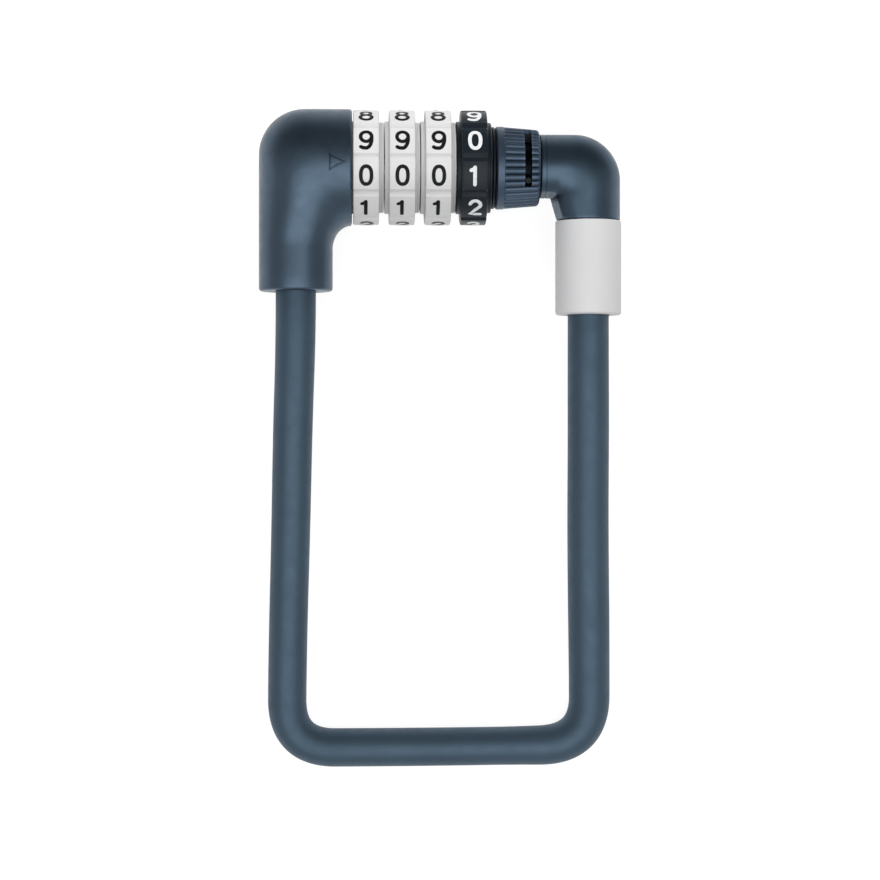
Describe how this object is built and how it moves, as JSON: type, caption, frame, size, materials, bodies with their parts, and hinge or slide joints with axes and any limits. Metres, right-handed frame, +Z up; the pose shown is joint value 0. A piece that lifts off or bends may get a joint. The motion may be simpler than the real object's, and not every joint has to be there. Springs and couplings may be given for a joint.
{
  "type": "laptop cable lock",
  "caption": "Combination cable lock: a bent barrel with number dials, a plug with a fluted collar that pulls out of it, and a stiff sheathed cable that loops from one to the other.",
  "frame": {"origin": "centre of the rigid pieces' footprint, at the level of the table that the lock lies on", "axes": "+X along the dial axis from the barrel towards the plug, +Y away from the cable loop, +Z up from the table"},
  "size_m": [0.0906, 0.1654, 0.029],
  "materials": {
    "blue_plastic": "smooth satin moulded plastic",
    "elbow_plastic": "smooth satin moulded plastic",
    "cable_sheath": "soft satin vinyl sheath over wire rope",
    "white_plastic": "satin white plastic, black printed numbers",
    "dial_black": "satin black plastic, white printed numbers",
    "grey_plastic": "satin light grey plastic",
    "black_plastic": "satin black plastic",
    "zinc": "die-cast zinc, as cast",
    "black_zinc": "die-cast zinc, black plated",
    "steel": "machined and plated",
    "spring_steel": "rolled strip",
    "steel_rope": "twisted wires",
    "ferrule": "pressed, zinc plated",
    "brass_pin": "turned"
  },
  "bodies": {
    "barrel": {"barrel_shell": "blue_plastic", "barrel_core": "zinc", "spindle_tube": "steel", "spindle_key": "steel", "detent_spring": "spring_steel", "mouth_cap": "black_plastic", "barrel_wire_end": "steel_rope", "barrel_ferrule": "ferrule", "barrel_ferrule_clip": "steel", "cable": "cable_sheath"},
    "dial_1_ring": {"dial_1": "white_plastic", "code_ring_1": "zinc"},
    "dial_2_ring": {"dial_2": "white_plastic", "code_ring_2": "zinc"},
    "dial_3_ring": {"dial_3": "white_plastic", "code_ring_3": "zinc"},
    "dial_4_ring": {"dial_4": "dial_black", "code_ring_4": "zinc"},
    "plug": {"plug_core": "black_zinc", "plug_cover": "elbow_plastic", "cable_sleeve": "grey_plastic", "locking_pin": "steel", "locking_pin_cross_pin": "steel", "collar_guide_pin": "brass_pin", "plug_wire_end": "steel_rope", "plug_ferrule": "ferrule", "plug_ferrule_clip": "steel"},
    "collar": {"code_change_collar": "elbow_plastic"}
  },
  "joints": [
    {"name": "dial_1_turn", "type": "hinge", "parent": "barrel", "child": "dial_1_ring", "pos_m": [0, 0.0111, 0.0145], "axis": [1, 0, 0], "continuous": true},
    {"name": "dial_2_turn", "type": "hinge", "parent": "barrel", "child": "dial_2_ring", "pos_m": [0, 0.0111, 0.0145], "axis": [1, 0, 0], "continuous": true},
    {"name": "dial_3_turn", "type": "hinge", "parent": "barrel", "child": "dial_3_ring", "pos_m": [0, 0.0111, 0.0145], "axis": [1, 0, 0], "continuous": true},
    {"name": "dial_4_turn", "type": "hinge", "parent": "barrel", "child": "dial_4_ring", "pos_m": [0, 0.0111, 0.0145], "axis": [1, 0, 0], "continuous": true},
    {"name": "plug_pull", "type": "slide", "parent": "barrel", "child": "plug", "axis": [1, 0, 0], "range_m": [0, 0.04]},
    {"name": "collar_turn", "type": "hinge", "parent": "plug", "child": "collar", "pos_m": [0, 0.0111, 0.0145], "axis": [1, 0, 0], "range_deg": [0, 90]}
  ]
}
